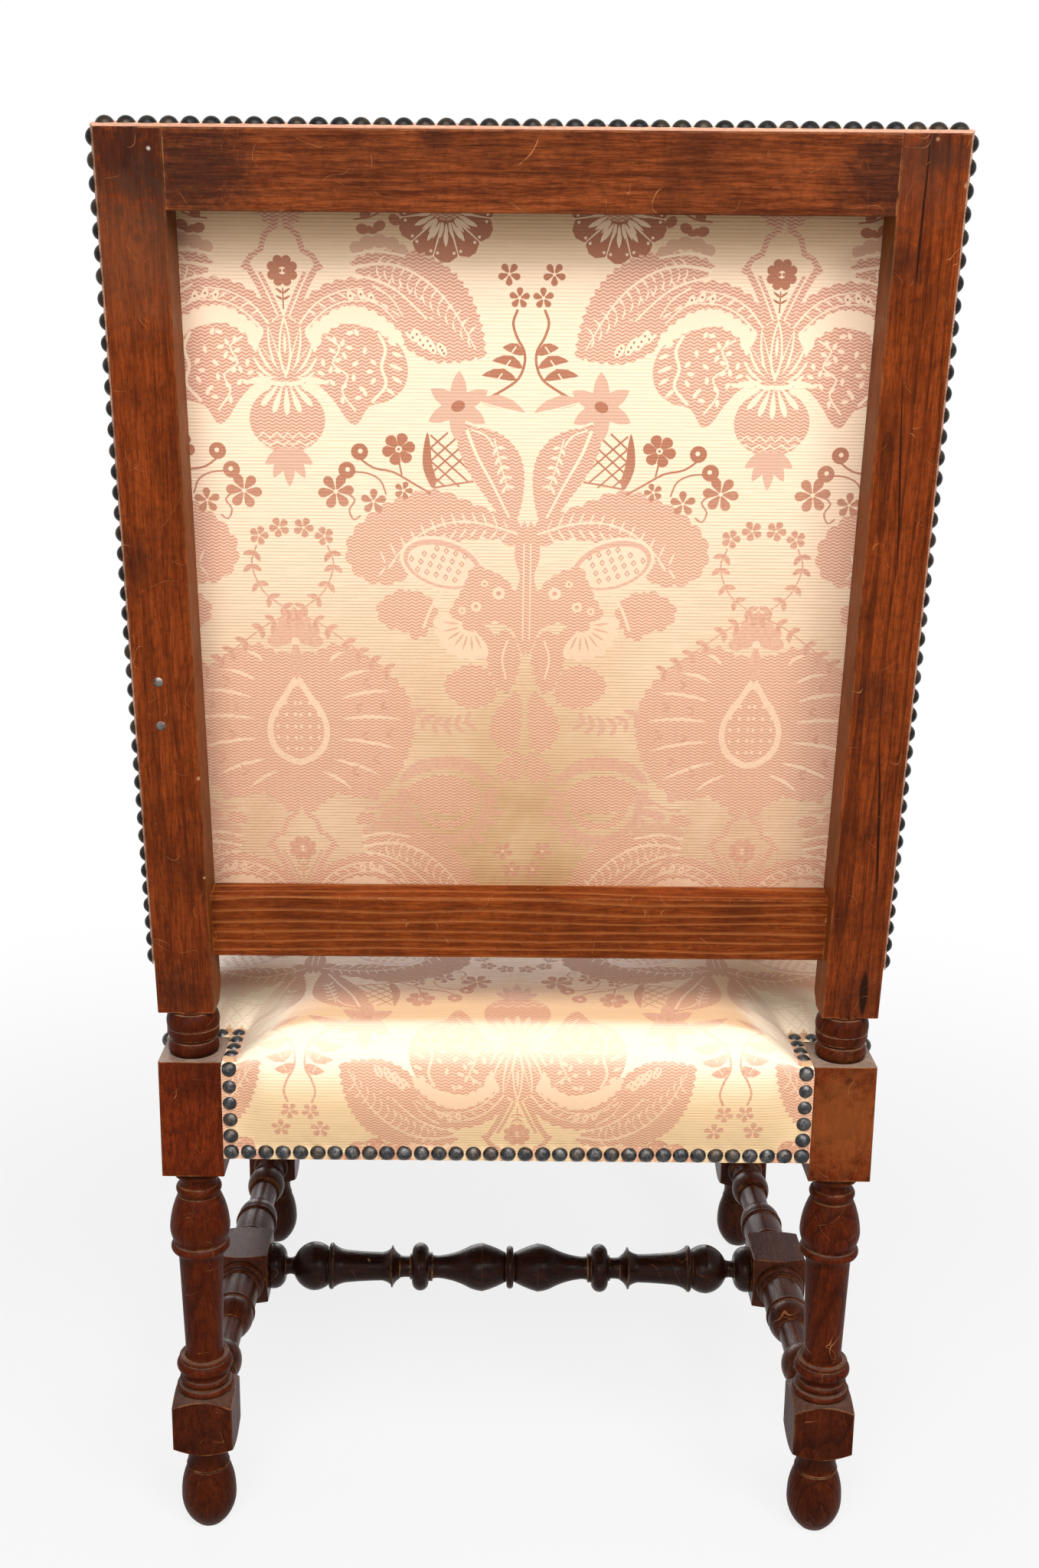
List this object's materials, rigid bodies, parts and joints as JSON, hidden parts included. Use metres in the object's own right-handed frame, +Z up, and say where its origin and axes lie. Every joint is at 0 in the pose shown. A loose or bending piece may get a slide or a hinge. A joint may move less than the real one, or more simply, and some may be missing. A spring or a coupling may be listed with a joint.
{
  "type": "upholstered side chair",
  "caption": "High-back upholstered side chair with turned legs, an H stretcher, a raked padded back and damask nailed along its edges.",
  "frame": {"origin": "middle of the bounding box, on the floor plane under the feet", "axes": "+Z up, the sitter faces -Y, +X to the sitter's left"},
  "size_m": [0.5628, 0.6126, 1.0921],
  "materials": {
    "frame_wood": "worn waxed walnut stain",
    "rail_wood": "bare",
    "damask": "woven damask, cream gold and rose",
    "webbing": "jute webbing",
    "hessian": "hessian",
    "stuffing": "fibre stuffing",
    "nail_metal": "darkened bronze",
    "pin_metal": "worn steel"
  },
  "bodies": {
    "root": {"rear_leg_left": "frame_wood", "rear_leg_right": "frame_wood", "front_leg_left": "frame_wood", "front_leg_right": "frame_wood", "side_stretcher_left": "frame_wood", "side_stretcher_right": "frame_wood", "cross_stretcher": "frame_wood", "back_top_rail": "frame_wood", "back_lower_rail": "frame_wood", "seat_rail_rear": "rail_wood", "seat_rail_front": "rail_wood", "seat_rail_left": "rail_wood", "seat_rail_right": "rail_wood", "corner_block_rear_left": "rail_wood", "corner_block_rear_right": "rail_wood", "corner_block_front_left": "rail_wood", "corner_block_front_right": "rail_wood", "seat_cover": "damask", "back_cover": "damask", "back_panel_cloth": "damask", "seat_webbing_long": "webbing", "seat_webbing_cross": "webbing", "back_webbing_upright": "webbing", "back_webbing_cross": "webbing", "seat_hessian": "hessian", "back_hessian": "hessian", "seat_stuffing": "stuffing", "back_stuffing": "stuffing", "seat_nails_rear": "nail_metal", "seat_nails_front": "nail_metal", "seat_nails_left": "nail_metal", "seat_nails_right": "nail_metal", "back_nails_top": "nail_metal", "back_nails_bottom": "nail_metal", "back_nails_left": "nail_metal", "back_nails_right": "nail_metal", "stile_pins": "pin_metal"}
  },
  "joints": []
}
